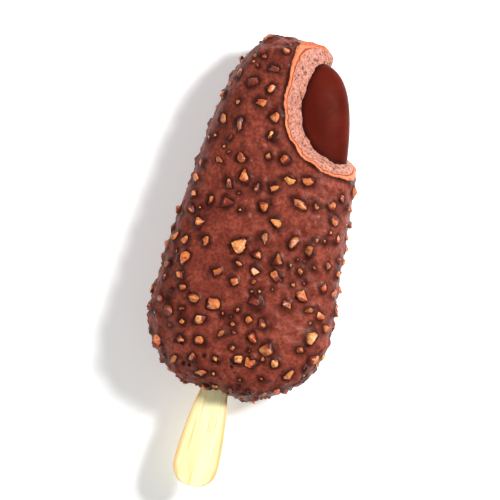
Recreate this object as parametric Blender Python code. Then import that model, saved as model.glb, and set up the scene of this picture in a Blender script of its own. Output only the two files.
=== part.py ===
"""Ice cream bar on a wooden stick, with one bite taken from its upper right.

Chocolate coating with chopped nuts, a layer of ice cream, a chocolate core that the bite leaves whole,
and a stick. Metres, +Z up: X runs across the bar, Y along it from the stick to the tip, and Z through
its thickness. The bar lies on its back. The origin is on the small flat that it rests on.
"""

import math
import random

import bmesh
import bpy
from mathutils import Euler, Vector, noise

# The bar's outer skin. "Along" is the distance from the foot, the rounded end that the stick leaves.
LENGTH = 0.1016
WIDEST_HALF = 0.0256
TAPER = 0.0874  # half width lost for each metre along
HALF_THICKNESS = 0.0129
THICKNESS_TAPER = 0.008
FOOT_ROUND = 0.0228
FOOT_POWER = 2.0
TIP_ROUND = 0.0460
TIP_POWER = 3.6
FACE_FOOT_ROUND = 0.0150
FACE_TIP_ROUND = 0.0240
FACE_POWER = 2.4
SECTION_POWER = 2.6

# Where the flat lies that the bar rests on, and where the origin is along the bar.
REST_DEPTH = 0.0122  # from the bar's own axis down to the flat
ORIGIN_ALONG = 0.046

# Layers, by how far each lies inside the outer skin.
COATING = 0.0011
CORE_SIDE = 0.0028
CORE_FACE = 0.0052
CORE_FOOT = 0.0070
CORE_TIP = 0.0045
GAP = 0.0003  # between pieces that touch

# The stick, a paddle that widens towards its free end.
STICK_X = -0.0021
STICK_LENGTH = 0.093
STICK_THICKNESS = 0.0020
STICK_HALF_NECK = 0.0040
STICK_HALF_FLARE = 0.00225
STICK_OUT = 0.0260  # how far it stands out of the foot
STICK_FLARE_START = 0.0005
STICK_FLARE_LENGTH = 0.0200
STICK_END_ROUND = 0.0062
STICK_TOP_ROUND = 0.0040
STICK_EDGE = 0.0003

# The hollow in the foot round the stick.
DENT_DEPTH = 0.0022
DENT_HALF_WIDTH = 0.0062
DENT_HALF_DEPTH = 0.0090
DENT_REACH = 0.0100

# The bite: its outline on the shown face, and the smaller one that it narrows to towards the back.
BITE_FACE = {"x": 0.0190, "along": 0.0886, "across": 0.0218, "down": 0.0216, "up": 0.0500}
BITE_DEEP = {"x": 0.0200, "along": 0.0862, "across": 0.0105, "down": 0.0115, "up": 0.0460}
BITE_POWER = 2.25
BITE_REACH = 1.94  # share to which it would narrow at an endless depth
BITE_SLOPE = 1.60  # depth, in half thicknesses, at which it has narrowed half as far as that
BITE_BACK = 0.30  # share by which it widens again up to the back
BITE_THINNEST = 0.0012  # half thickness taken for the bar at its sides and past its tip
BITE_SCALLOP = 0.022  # share by which each tooth's arc bulges
BITE_TEETH = 8
BITE_SHOULDER_ALONG = 0.0979  # where the deeper outline begins to lean left, over the rounded tip
BITE_SHOULDER_CURVE = 300.0
BITE_SHOULDER_REACH = 0.0060
BITE_LEDGE_X = 0.0170  # where the deeper outline begins to fall away to the right
BITE_LEDGE_FALL = 0.75
BITE_LEDGE_REACH = 0.0080

# Uneven chocolate.
RELIEF_COARSE = 0.00045
RELIEF_COARSE_SIZE = 0.011
RELIEF_FINE = 0.00022
RELIEF_FINE_SIZE = 0.0045

# Chopped nuts. The first are the large ones of the shown face: across, along and size.
NUT_SEED = 11
NUT_COUNT = 219
NUT_LARGEST = 0.0043
NUT_SMALLEST = 0.0028
NUT_SPACING = 0.0006
NUT_CLUSTER = 0.6  # how strongly they gather in places
NUT_CLUSTER_SIZE = 0.0090
NUT_CORNERS = 8
NUT_KNOCK = 0.36  # share of its half size by which a corner is knocked aside
NUT_STRETCH = (1.0, 1.45)
NUT_SINK = 0.09  # share of its size by which a nut's middle is sunk below the skin
NUT_FLAT = 0.86
GOLDEN_ANGLE = math.pi * (3.0 - math.sqrt(5.0))
NUT_CLEAR = 0.0004  # from the bite
NUT_STICK_ALONG = 0.0100  # no nut stands this near the foot beside the stick
NUT_STICK_DEPTH = 0.0035
LARGE_NUTS = (
    (0.0080, 0.0574, 0.0050),
    (-0.0047, 0.0426, 0.0053),
    (0.0009, 0.0455, 0.0047),
    (-0.0190, 0.0349, 0.0047),
    (0.0137, 0.0452, 0.0044),
    (0.0205, 0.0221, 0.0047),
    (0.0246, 0.0308, 0.0044),
    (0.0218, 0.0640, 0.0038),
    (-0.0242, 0.0372, 0.0042),
    (0.0143, 0.0328, 0.0042),
    (-0.0081, 0.0253, 0.0042),
    (0.0188, 0.0553, 0.0039),
    (-0.0073, 0.0915, 0.0039),
    (-0.0106, 0.0196, 0.0039),
    (-0.0110, 0.0529, 0.0038),
    (0.0038, 0.0629, 0.0038),
    (0.0031, 0.0278, 0.0038),
    (0.0221, 0.0168, 0.0039),
)

# How finely the shapes are divided.
RINGS = 30
AROUND = 36
INNER_RINGS = 20
INNER_AROUND = 24
BITE_AROUND = 56
STICK_END_STEPS = 13
STICK_SIDE_STEPS = 14


class Layer:
    """One rounded body of the bar, set in from the outer skin at its sides, faces, foot and tip."""

    def __init__(self, side=0.0, face=0.0, foot=0.0, tip=0.0):
        self.side = side
        self.face = face
        self.foot = foot
        self.tip = tip

    def half_width(self, along):
        line = WIDEST_HALF - TAPER * max(0.0, along - FOOT_ROUND) - self.side
        foot = rounding((FOOT_ROUND - along) / (FOOT_ROUND - self.foot), FOOT_POWER)
        tip = rounding((along - LENGTH + TIP_ROUND) / (TIP_ROUND - self.tip), TIP_POWER)
        return line * foot * tip

    def half_thickness(self, along):
        line = HALF_THICKNESS - THICKNESS_TAPER * max(0.0, along - FACE_FOOT_ROUND) - self.face
        foot = rounding((FACE_FOOT_ROUND - along) / (FACE_FOOT_ROUND - self.foot), FACE_POWER)
        tip = rounding((along - LENGTH + FACE_TIP_ROUND) / (FACE_TIP_ROUND - self.tip), FACE_POWER)
        return line * foot * tip

    def point(self, along, turn):
        """A point of the skin, with the bar's axis at x = z = 0 and its foot at y = 0."""
        across = self.half_width(along) * signed_power(math.cos(turn), 2.0 / SECTION_POWER)
        up = self.half_thickness(along) * signed_power(math.sin(turn), 2.0 / SECTION_POWER)
        return Vector((across, along, up))

    def normal(self, along, turn):
        """The direction straight out of the skin."""
        step = 0.0002
        low = max(along - step, 0.0)
        high = min(along + step, LENGTH)
        lengthwise = self.point(high, turn) - self.point(low, turn)
        round_about = self.point(along, turn + 0.01) - self.point(along, turn - 0.01)
        return lengthwise.cross(round_about).normalized()


def rounding(depth, power):
    """Share of the full size left at a depth that runs from 0, where an end begins, to 1, at its tip."""
    depth = min(1.0, max(0.0, depth))
    return (1.0 - depth**power) ** (1.0 / power)


def signed_power(value, power):
    return math.copysign(abs(value) ** power, value)


OUTER = Layer()
COATING_INSIDE = Layer(COATING, COATING, COATING, COATING)
ICE_CREAM = Layer(COATING + GAP, COATING + GAP, COATING + GAP, COATING + GAP)
CORE = Layer(CORE_SIDE, CORE_FACE, CORE_FOOT, CORE_TIP)
CORE_HOLE = Layer(CORE_SIDE - GAP, CORE_FACE - GAP, CORE_FOOT - GAP, CORE_TIP - GAP)


def placed(point):
    """A point given from the bar's axis and foot, in the part's own frame."""
    return Vector((point.x, point.y - ORIGIN_ALONG, point.z + REST_DEPTH))


def mesh_object(name, mesh, colour=None, roughness=0.5):
    thing = bpy.data.objects.new(name, mesh)
    bpy.context.scene.collection.objects.link(thing)
    if colour:
        material = bpy.data.materials.new(name)
        material.use_nodes = True
        shader = material.node_tree.nodes["Principled BSDF"]
        shader.inputs["Base Color"].default_value = (*colour, 1.0)
        shader.inputs["Roughness"].default_value = roughness
        shader.inputs["Metallic"].default_value = 0.0
        mesh.materials.append(material)
    return thing


def hide_helper(thing):
    thing.hide_render = True
    thing.display_type = "WIRE"
    return thing


def finished_mesh(name, bm, smooth_angle=None):
    bmesh.ops.recalc_face_normals(bm, faces=bm.faces)
    mesh = bpy.data.meshes.new(name)
    bm.to_mesh(mesh)
    bm.free()
    if smooth_angle is not None:
        mesh.shade_smooth()
        mesh.set_sharp_from_angle(angle=smooth_angle)
    return mesh


def bridge_rings(bm, rings, closed_ends):
    """Faces between rings of vertices in order, with a fan or a flat cap at each end."""
    for lower, upper in zip(rings, rings[1:]):
        count = len(lower)
        for i in range(count):
            j = (i + 1) % count
            bm.faces.new((lower[i], lower[j], upper[j], upper[i]))
    for ring, end in zip((rings[0], rings[-1]), closed_ends):
        if end is None:
            bm.faces.new(ring)
            continue
        tip = bm.verts.new(end)
        for i in range(len(ring)):
            bm.faces.new((ring[i], ring[(i + 1) % len(ring)], tip))


def relief(point):
    """How far the chocolate stands out at a point, from two sizes of smooth noise."""
    coarse = noise.noise(point / RELIEF_COARSE_SIZE)
    fine = noise.noise(point / RELIEF_FINE_SIZE + Vector((7.0, 3.0, 5.0)))
    return RELIEF_COARSE * coarse + RELIEF_FINE * fine


def dent(point):
    """How far the foot is drawn in along the bar round the stick."""
    across = math.exp(-(((point.x - STICK_X) / DENT_HALF_WIDTH) ** 2))
    through = math.exp(-((point.z / DENT_HALF_DEPTH) ** 2))
    near_foot = max(0.0, 1.0 - point.y / DENT_REACH)
    return DENT_DEPTH * across * through * near_foot


def build_skin(name, layer, rings, around, uneven=False):
    """The closed surface of a layer, as rings along the bar that are closest together at its ends."""
    first = layer.foot
    last = LENGTH - layer.tip
    bm = bmesh.new()
    made = []
    for ring in range(1, rings):
        along = first + (last - first) * (1.0 - math.cos(math.pi * ring / rings)) / 2.0
        turns = [math.tau * (i + 0.5) / around for i in range(around)]
        made.append([bm.verts.new(layer.point(along, turn)) for turn in turns])
    bridge_rings(bm, made, (Vector((0.0, first, 0.0)), Vector((0.0, last, 0.0))))
    bmesh.ops.recalc_face_normals(bm, faces=bm.faces)
    bm.normal_update()
    for vertex in bm.verts:
        rest = vertex.co.copy()
        if uneven:
            vertex.co += vertex.normal * relief(rest)
        vertex.co.y += dent(rest)
        vertex.co = placed(vertex.co)
    return finished_mesh(name, bm, math.radians(60))


def bite_share(level):
    """How far the bite has narrowed at a level: 1 is on the shown surface and -1 on the back."""
    depth = max(0.0, 1.0 - level)
    behind = min(1.0, max(0.0, -level))
    return BITE_REACH * depth / (depth + BITE_SLOPE) * (1.0 - BITE_BACK * behind**2)


def bite_sizes(share):
    return {key: BITE_FACE[key] + (BITE_DEEP[key] - BITE_FACE[key]) * share for key in BITE_FACE}


def bite_shoulder(along, share):
    """How far the outline leans left over the rounded tip."""
    past = min(BITE_SHOULDER_REACH, max(0.0, along - BITE_SHOULDER_ALONG))
    return BITE_SHOULDER_CURVE * past * past * share


def bite_fall(across, share):
    """How far the outline falls towards the foot at the bar's right side."""
    return BITE_LEDGE_FALL * share * min(BITE_LEDGE_REACH, max(0.0, across - BITE_LEDGE_X))


def surface_height(across, along):
    """How far the bar's surface stands above its axis, and no less than the bite's thinnest."""
    along = min(along, LENGTH)
    width = max(OUTER.half_width(along), BITE_THINNEST)
    side = rounding(abs(across) / width, SECTION_POWER)
    return max(BITE_THINNEST, OUTER.half_thickness(along) * side)


def bite_point(level, turn):
    """A point of the bite's wall. The levels lie closer together where the bar is thinner."""
    share = bite_share(level)
    sizes = bite_sizes(share)
    tooth = 1.0 + BITE_SCALLOP * abs(math.sin(BITE_TEETH * turn))
    reach = sizes["up"] if math.sin(turn) > 0.0 else sizes["down"]
    along = sizes["along"] + reach * tooth * signed_power(math.sin(turn), 2.0 / BITE_POWER)
    across = sizes["x"] + sizes["across"] * tooth * signed_power(math.cos(turn), 2.0 / BITE_POWER)
    across -= bite_shoulder(along, share)
    along -= bite_fall(across, share)
    return Vector((across, along, level * surface_height(across, along)))


def in_bite(point, margin):
    """Whether a point lies in the bite, or nearer to it than the margin."""
    share = bite_share(point.z / surface_height(point.x, point.y))
    sizes = bite_sizes(share)
    across = abs(point.x + bite_shoulder(point.y, share) - sizes["x"])
    offset = point.y + bite_fall(point.x, share) - sizes["along"]
    reach = sizes["up"] if offset > 0.0 else sizes["down"]
    share_across = across / (sizes["across"] + margin)
    return share_across**BITE_POWER + (abs(offset) / (reach + margin)) ** BITE_POWER < 1.0


def build_bite():
    """The closed tube that takes the bite away, from above the shown face to below the back."""
    levels = (1.0, 0.92, 0.84, 0.74, 0.62, 0.46, 0.25, 0.0, -0.35, -0.7, -1.0)
    above = 2.0 * HALF_THICKNESS
    turns = [math.tau * i / BITE_AROUND for i in range(BITE_AROUND)]
    outlines = [[bite_point(level, turn) for turn in turns] for level in levels]
    top = [Vector((point.x, point.y, above)) for point in outlines[0]]
    bottom = [Vector((point.x, point.y, -above)) for point in outlines[-1]]
    bm = bmesh.new()
    rings = [[bm.verts.new(placed(point)) for point in outline] for outline in (top, *outlines, bottom)]
    bridge_rings(bm, rings, (None, None))
    return hide_helper(mesh_object("bite_cutter", finished_mesh("bite_cutter", bm)))


def box_cutter(name, low, high):
    """A box cutter between two corners, given from the bar's axis and foot."""
    bm = bmesh.new()
    bmesh.ops.create_cube(bm, size=1.0)
    low = placed(Vector(low))
    high = placed(Vector(high))
    for vertex in bm.verts:
        vertex.co = Vector(
            [low[i] if vertex.co[i] < 0.0 else high[i] for i in range(3)]
        )
    return hide_helper(mesh_object(name, finished_mesh(name, bm)))


def stick_half_width(along):
    """Half the stick's width at a distance along the bar, below zero outside the foot."""
    flare = min(1.0, max(0.0, (STICK_FLARE_START - along) / STICK_FLARE_LENGTH))
    width = STICK_HALF_NECK + STICK_HALF_FLARE * math.sin(flare * math.pi / 2.0)
    top = STICK_LENGTH - STICK_OUT
    end = rounding((along - top + STICK_TOP_ROUND) / STICK_TOP_ROUND, 2.0)
    free = rounding((STICK_END_ROUND - STICK_OUT - along) / STICK_END_ROUND, 2.2)
    return width * end * free


def build_stick():
    """The stick's outline, down one edge and up the other, drawn out to its thickness and bevelled."""
    top = STICK_LENGTH - STICK_OUT
    spread = [math.sin(math.pi / 2.0 * i / STICK_END_STEPS) for i in range(STICK_END_STEPS)]
    alongs = [-STICK_OUT + STICK_END_ROUND * (1.0 - s) for s in reversed(spread)]
    start = STICK_END_ROUND - STICK_OUT
    reach = top - STICK_TOP_ROUND - start
    alongs += [start + reach * (i + 1) / STICK_SIDE_STEPS for i in range(STICK_SIDE_STEPS)]
    alongs += [top - STICK_TOP_ROUND * (1.0 - s) for s in spread[1:]]
    right = [(STICK_X + stick_half_width(a), a) for a in alongs]
    left = [(STICK_X - stick_half_width(a), a) for a in reversed(alongs)]
    ends = [(STICK_X, top)], [(STICK_X, -STICK_OUT)]
    bm = bmesh.new()
    outline = right + ends[0] + left + ends[1]
    low = -STICK_THICKNESS / 2.0
    bottom = bm.faces.new([bm.verts.new(placed(Vector((x, a, low)))) for x, a in outline])
    made = bmesh.ops.extrude_face_region(bm, geom=[bottom])["geom"]
    for vertex in (g for g in made if isinstance(g, bmesh.types.BMVert)):
        vertex.co.z += STICK_THICKNESS
    stick = mesh_object("stick", finished_mesh("stick", bm), (0.93, 0.86, 0.55), 0.6)
    bevel = stick.modifiers.new("rounded edges", "BEVEL")
    bevel.width = STICK_EDGE
    bevel.segments = 1
    bevel.limit_method = "ANGLE"
    bevel.angle_limit = math.radians(50)
    return stick


def area_of(along, turn):
    """The skin's area for a small step along and round at a place, to spread the nuts evenly."""
    step = 0.001
    lengthwise = OUTER.point(min(along + step, LENGTH), turn) - OUTER.point(along, turn)
    round_about = OUTER.point(along, turn + 0.05) - OUTER.point(along, turn)
    return lengthwise.cross(round_about).length


def turn_of(across, along):
    """The angle at which the shown face lies at a distance across."""
    share = min(0.999, abs(across) / OUTER.half_width(along))
    return math.acos(math.copysign(share ** (SECTION_POWER / 2.0), across))


def nut_fits(place, size, others):
    """Whether a nut there stays clear of the bite, the stick, the resting flat and its neighbours."""
    if in_bite(place, 0.5 * size + NUT_CLEAR):
        return False
    by_stick = abs(place.x - STICK_X) < STICK_HALF_NECK + 0.6 * size and place.y < NUT_STICK_ALONG
    if by_stick and abs(place.z) < NUT_STICK_DEPTH + 0.5 * size:
        return False
    if place.z < -REST_DEPTH + GAP:
        return False
    return all((place - other).length > 0.5 * (size + far) + NUT_SPACING for other, far in others)


def nut_places():
    """Where the nuts lie: place, direction out of the skin and size, the largest first."""
    draw = random.Random(NUT_SEED)
    places = []
    for across, along, size in LARGE_NUTS:
        turn = turn_of(across, along)
        places.append((OUTER.point(along, turn), OUTER.normal(along, turn), size))
    most = max(area_of(LENGTH * i / 40.0, math.tau * j / 40.0) for i in range(40) for j in range(40))
    while len(places) < NUT_COUNT:
        share = (len(places) - len(LARGE_NUTS)) / (NUT_COUNT - len(LARGE_NUTS))
        size = NUT_SMALLEST + (NUT_LARGEST - NUT_SMALLEST) * (1.0 - share) ** 2
        along = draw.uniform(0.0, LENGTH)
        turn = draw.uniform(0.0, math.tau)
        if draw.uniform(0.0, most) > area_of(along, turn):
            continue
        place = OUTER.point(along, turn)
        if draw.uniform(0.0, 1.0) > 0.5 + NUT_CLUSTER * noise.noise(place / NUT_CLUSTER_SIZE):
            continue
        if nut_fits(place, size, [(p, s) for p, _, s in places]):
            places.append((place, OUTER.normal(along, turn), size))
    return places


def nut_seat(place, outward):
    """Where a place of the smooth skin lies once the chocolate is uneven and its foot drawn in."""
    return place + outward * relief(place) + Vector((0.0, dent(place), 0.0))


def nut_corners(size, draw):
    """Corners of a chopped nut: spread round a ball, knocked aside, then stretched and turned."""
    stretch = draw.uniform(*NUT_STRETCH)
    turned = Euler([draw.uniform(0.0, math.tau) for _ in range(3)])
    corners = []
    for i in range(NUT_CORNERS):
        up = 1.0 - (2.0 * i + 1.0) / NUT_CORNERS
        flat = math.sqrt(1.0 - up * up)
        corner = Vector((flat * math.cos(i * GOLDEN_ANGLE), flat * math.sin(i * GOLDEN_ANGLE), up))
        corner += Vector([draw.uniform(-NUT_KNOCK, NUT_KNOCK) for _ in range(3)])
        corner.x *= stretch
        corner.rotate(turned)
        corners.append(Vector((corner.x, corner.y, corner.z * NUT_FLAT - 2.0 * NUT_SINK)) * size / 2.0)
    return corners


def nut_hull(corners):
    """The flat faces round a nut's outermost corners."""
    bm = bmesh.new()
    for corner in corners:
        bm.verts.new(corner)
    bmesh.ops.convex_hull(bm, input=bm.verts)
    bmesh.ops.delete(bm, geom=[vertex for vertex in bm.verts if not vertex.link_faces], context="VERTS")
    return bm


def build_nut(name, place, outward, size, draw):
    """One chopped nut, sunk part way into the skin."""
    facing = outward.to_track_quat("Z", "Y")
    seat = nut_seat(place, outward)
    bm = nut_hull([placed(seat + facing @ corner) for corner in nut_corners(size, draw)])
    return mesh_object(name, finished_mesh(name, bm))


def boolean(thing, name, operation, other):
    modifier = thing.modifiers.new(name, "BOOLEAN")
    modifier.operation = operation
    modifier.solver = "EXACT"
    if isinstance(other, bpy.types.Collection):
        modifier.operand_type = "COLLECTION"
        modifier.collection = other
    else:
        modifier.object = other
    return modifier


def fuse_nuts(coating):
    """Joins the nuts to the coating with one union, applies it and removes the loose nuts."""
    draw = random.Random(NUT_SEED + 1)
    nuts = bpy.data.collections.new("nuts")
    bpy.context.scene.collection.children.link(nuts)
    for index, (place, outward, size) in enumerate(nut_places()):
        nut = build_nut(f"nut_{index:03d}", place, outward, size, draw)
        bpy.context.scene.collection.objects.unlink(nut)
        nuts.objects.link(nut)
    union = boolean(coating, "fuse nuts", "UNION", nuts)
    bpy.context.view_layer.objects.active = coating
    bpy.ops.object.modifier_apply(modifier=union.name)
    for nut in list(nuts.objects):
        bpy.data.objects.remove(nut)
    bpy.data.collections.remove(nuts)


def main():
    for thing in list(bpy.data.objects):
        bpy.data.objects.remove(thing)

    bite = build_bite()
    floor = box_cutter("floor_cutter", (-LENGTH, -LENGTH, -LENGTH), (LENGTH, 2.0 * LENGTH, -REST_DEPTH))
    slot_half = STICK_HALF_NECK + GAP
    slot_low = (STICK_X - slot_half, -DENT_DEPTH, -STICK_THICKNESS / 2.0 - GAP)
    slot_high = (STICK_X + slot_half, STICK_LENGTH - STICK_OUT + GAP, STICK_THICKNESS / 2.0 + GAP)
    slot = box_cutter("slot_cutter", slot_low, slot_high)

    coating = mesh_object(
        "coating", build_skin("coating", OUTER, RINGS, AROUND, uneven=True), (0.20, 0.05, 0.035), 0.42
    )
    fuse_nuts(coating)
    inside = hide_helper(
        mesh_object("inside_cutter", build_skin("inside_cutter", COATING_INSIDE, INNER_RINGS, INNER_AROUND))
    )
    for name, cutter in (("hollow", inside), ("bite", bite), ("flat", floor), ("slot", slot)):
        boolean(coating, name, "DIFFERENCE", cutter)

    ice_cream = mesh_object(
        "ice_cream", build_skin("ice_cream", ICE_CREAM, INNER_RINGS, INNER_AROUND), (0.90, 0.47, 0.36), 0.6
    )
    hole = hide_helper(
        mesh_object("core_hole_cutter", build_skin("core_hole_cutter", CORE_HOLE, INNER_RINGS, INNER_AROUND))
    )
    for name, cutter in (("core hole", hole), ("bite", bite), ("slot", slot)):
        boolean(ice_cream, name, "DIFFERENCE", cutter)

    core = mesh_object("core", build_skin("core", CORE, INNER_RINGS, INNER_AROUND), (0.11, 0.015, 0.009), 0.3)
    boolean(core, "slot", "DIFFERENCE", slot)

    build_stick()


main()
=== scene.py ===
"""Ice cream bar with chopped nuts on a wooden stick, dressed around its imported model.

The coating, the nuts, the crumbs, the ice cream, the chocolate core and the stick are made again in fine
detail on the same form as the solids, each by an operator of its own. Metres, +Z up.
"""

import math
import random

import bmesh
import bpy
import numpy as np
from bpy.props import FloatProperty, FloatVectorProperty, IntProperty, PointerProperty
from mathutils import Euler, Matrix, Vector, kdtree, noise
from mathutils.bvhtree import BVHTree


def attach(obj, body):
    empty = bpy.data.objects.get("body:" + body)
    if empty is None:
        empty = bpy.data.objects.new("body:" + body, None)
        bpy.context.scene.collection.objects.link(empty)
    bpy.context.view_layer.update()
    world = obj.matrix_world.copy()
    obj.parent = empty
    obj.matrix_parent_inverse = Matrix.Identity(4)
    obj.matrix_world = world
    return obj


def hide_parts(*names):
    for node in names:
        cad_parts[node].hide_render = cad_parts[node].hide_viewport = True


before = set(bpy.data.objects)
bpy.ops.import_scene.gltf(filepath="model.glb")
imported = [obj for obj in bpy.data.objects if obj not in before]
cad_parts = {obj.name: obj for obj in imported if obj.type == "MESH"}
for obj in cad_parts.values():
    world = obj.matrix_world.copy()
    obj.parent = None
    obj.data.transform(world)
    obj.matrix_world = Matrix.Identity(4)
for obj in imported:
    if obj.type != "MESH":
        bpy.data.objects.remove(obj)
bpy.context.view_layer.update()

bl_info = {
    "name": "Ice cream bar with nuts",
    "version": (1, 0, 0),
    "blender": (4, 5, 0),
    "location": "View3D > Sidebar > Ice cream bar",
    "description": "Dresses a bitten ice cream bar: coating, chopped nuts, ice cream, core and stick",
    "category": "Add Mesh",
}

# The bar's form, as in its solids. "Along" is the distance from the foot, where the stick leaves it.
LENGTH = 0.1016
WIDEST_HALF = 0.0256
TAPER = 0.0874
HALF_THICKNESS = 0.0129
THICKNESS_TAPER = 0.008
FOOT_ROUND = 0.0228
FOOT_POWER = 2.0
TIP_ROUND = 0.0460
TIP_POWER = 3.6
FACE_FOOT_ROUND = 0.0150
FACE_TIP_ROUND = 0.0240
FACE_POWER = 2.4
SECTION_POWER = 2.6
REST_DEPTH = 0.0122
ORIGIN_ALONG = 0.046
COATING = 0.0011
CORE_SIDE = 0.0028
CORE_FACE = 0.0052
CORE_FOOT = 0.0070
CORE_TIP = 0.0045
GAP = 0.0003
SNUG = 0.00003  # by which one piece reaches into the next, so that no gap shows

# The stick, a paddle that widens towards its free end.
STICK_X = -0.0021
STICK_LENGTH = 0.093
STICK_THICKNESS = 0.0020
STICK_HALF_NECK = 0.0040
STICK_HALF_FLARE = 0.00225
STICK_OUT = 0.0260
STICK_FLARE_START = 0.0005
STICK_FLARE_LENGTH = 0.0200
STICK_END_ROUND = 0.0062
STICK_TOP_ROUND = 0.0040
STICK_EDGE = 0.00035

# The hollow in the foot round the stick.
DENT_DEPTH = 0.0022
DENT_HALF_WIDTH = 0.0062
DENT_HALF_DEPTH = 0.0090
DENT_REACH = 0.0100

# The bite: its outline on the shown face, and the smaller one that it narrows to towards the back.
BITE_FACE = {"x": 0.0190, "along": 0.0886, "across": 0.0218, "down": 0.0216, "up": 0.0500}
BITE_DEEP = {"x": 0.0200, "along": 0.0862, "across": 0.0105, "down": 0.0115, "up": 0.0460}
BITE_POWER = 2.25
BITE_REACH = 1.94
BITE_SLOPE = 1.60
BITE_BACK = 0.30
BITE_THINNEST = 0.0012
BITE_SCALLOP = 0.022
BITE_TEETH = 8
BITE_SHOULDER_ALONG = 0.0979
BITE_SHOULDER_CURVE = 300.0
BITE_SHOULDER_REACH = 0.0060
BITE_LEDGE_X = 0.0170
BITE_LEDGE_FALL = 0.75
BITE_LEDGE_REACH = 0.0080

# Uneven chocolate, as in the solids.
RELIEF_COARSE = 0.00045
RELIEF_COARSE_SIZE = 0.011
RELIEF_FINE = 0.00022
RELIEF_FINE_SIZE = 0.0045

# Chopped nuts, as in the solids. The first are the large ones of the shown face: across, along and size.
NUT_SEED = 11
NUT_COUNT = 219
NUT_LARGEST = 0.0043
NUT_SMALLEST = 0.0028
NUT_SPACING = 0.0006
NUT_CLUSTER = 0.6
NUT_CLUSTER_SIZE = 0.0090
NUT_CORNERS = 8
NUT_KNOCK = 0.36
NUT_STRETCH = (1.0, 1.45)
NUT_SINK = 0.09
NUT_FLAT = 0.86
GOLDEN_ANGLE = math.pi * (3.0 - math.sqrt(5.0))
NUT_CLEAR = 0.0004
NUT_STICK_ALONG = 0.0100
NUT_STICK_DEPTH = 0.0035
LARGE_NUTS = (
    (0.0080, 0.0574, 0.0050),
    (-0.0047, 0.0426, 0.0053),
    (0.0009, 0.0455, 0.0047),
    (-0.0190, 0.0349, 0.0047),
    (0.0137, 0.0452, 0.0044),
    (0.0205, 0.0221, 0.0047),
    (0.0246, 0.0308, 0.0044),
    (0.0218, 0.0640, 0.0038),
    (-0.0242, 0.0372, 0.0042),
    (0.0143, 0.0328, 0.0042),
    (-0.0081, 0.0253, 0.0042),
    (0.0188, 0.0553, 0.0039),
    (-0.0073, 0.0915, 0.0039),
    (-0.0106, 0.0196, 0.0039),
    (-0.0110, 0.0529, 0.0038),
    (0.0038, 0.0629, 0.0038),
    (0.0031, 0.0278, 0.0038),
    (0.0221, 0.0168, 0.0039),
)

# What the solids leave out: crumbs, lumps under the chocolate and its finest unevenness.
CRUMB_SEED = 23
CRUMB_LARGEST = 0.0023
CRUMB_SMALLEST = 0.0012
LUMP_SEED = 37
LUMP_LARGEST = 0.0030
LUMP_SMALLEST = 0.0012
LUMP_WIDTH = 0.62  # by the lump's size, as the next one
LUMP_HEIGHT = 0.30
LUMP_HEIGHTS = (0.5, 1.2)  # the lowest and the highest, by that height
LUMP_STRETCH = 0.62  # the most by which a lump is longer one way
RIDGE = ((-0.0122, 0.0952), (-0.0099, 0.0962), (-0.0074, 0.0968))  # lumps in a row: across and along
RIDGE_SIZE = 0.0036
FOOT_LUMP_REACH = 0.0150
FOOT_LUMP_CROWD = 1.5  # how much they crowd towards the foot
FOOT_LUMP_LARGEST = 0.0026
FOOT_LUMP_WIDTH = 0.55  # by the lump's size, as the next one
FOOT_LUMP_HEIGHT = 0.42
SKIRT_START = 0.42  # how far from a nut's middle the chocolate begins to climb it, by the nut's size
SKIRT_WIDTH = 0.0007
SKIRT_WIDTHS = (0.7, 1.5)  # the narrowest and the widest, by that width
SKIRT_HEIGHTS = (0.4, 1.5)  # the lowest and the highest, by the skirt that the panel sets
EDGE_STIR = 0.28  # how uneven the outlines of lumps and skirts are
EDGE_STIR_SIZE = 0.0013
WIDEST_REACH = 0.0050
RIPPLE_SIZE = 0.0021
GRAIN_SIZE = 0.0008
BITE_ROUGH_SIZE = 0.0009
BITE_WAVE_SIZE = 0.0034
PIT_DEPTH = 0.0005
PITS = (  # by the foot on the shown face: across, along and size
    (-0.0071, 0.0104, 0.0019),
    (0.0002, 0.0110, 0.0014),
    (0.0017, 0.0106, 0.0014),
    (0.0008, 0.0091, 0.0013),
    (-0.0152, 0.0129, 0.0015),
    (-0.0138, 0.0122, 0.0014),
    (-0.0120, 0.0068, 0.0018),
    (-0.0104, 0.0068, 0.0015),
    (-0.0082, 0.0049, 0.0014),
)
NUT_PIT = 0.17  # how broad the unevenness of a nut's faces is, by its size
NUT_LEAN = 0.75  # how far the chocolate on a nut may lean to one side
COVERED = (-0.10, -0.05, 0.0, 0.03, 0.06, 0.10, 0.15, 0.26)  # how high chocolate covers a nut, by its size
BARE_FADE = 0.14  # height over which the chocolate on a nut ends, by its size

# Painted shade in creases: how far it reaches from what it lies beside.
RIM_SHADE_START = 0.0006  # up to here the coating beside the bite takes the painted shade at its darkest
RIM_SHADE = 0.0012  # and over this length that painted dark line fades out
CORE_SHADE = 0.0008  # on the core, where it leaves the ice cream
CONTACT_SHADE = 0.0009  # on the coating, where it meets a nut
CONTACT_UNEVEN = 0.9  # by which share that reach comes and goes
CONTACT_PATCH = 0.0030  # and over which length
COATING_SHADE_DARKNESS = 0.94  # how dark the painted shade is at its deepest
CORE_SHADE_DARKNESS = 0.88

# The stage. Angles are in degrees, and turns start from the photo's right.
CAMERA_LEAN = 14.0
CAMERA_AIM = (-0.00193, -0.0044, REST_DEPTH)
VIEW_WIDTH = 0.1389
KEY_LIGHT = {"size": 0.14, "turn": 24.0, "height": 46.0, "away": 0.6}
FILL_LIGHT = {"size": 0.5, "turn": 200.0, "height": 22.0, "away": 0.8}
FLOOR_HALF = 2.0
FLOOR_DROP = 0.00005  # keeps the floor clear of the flat that rests on it

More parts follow.
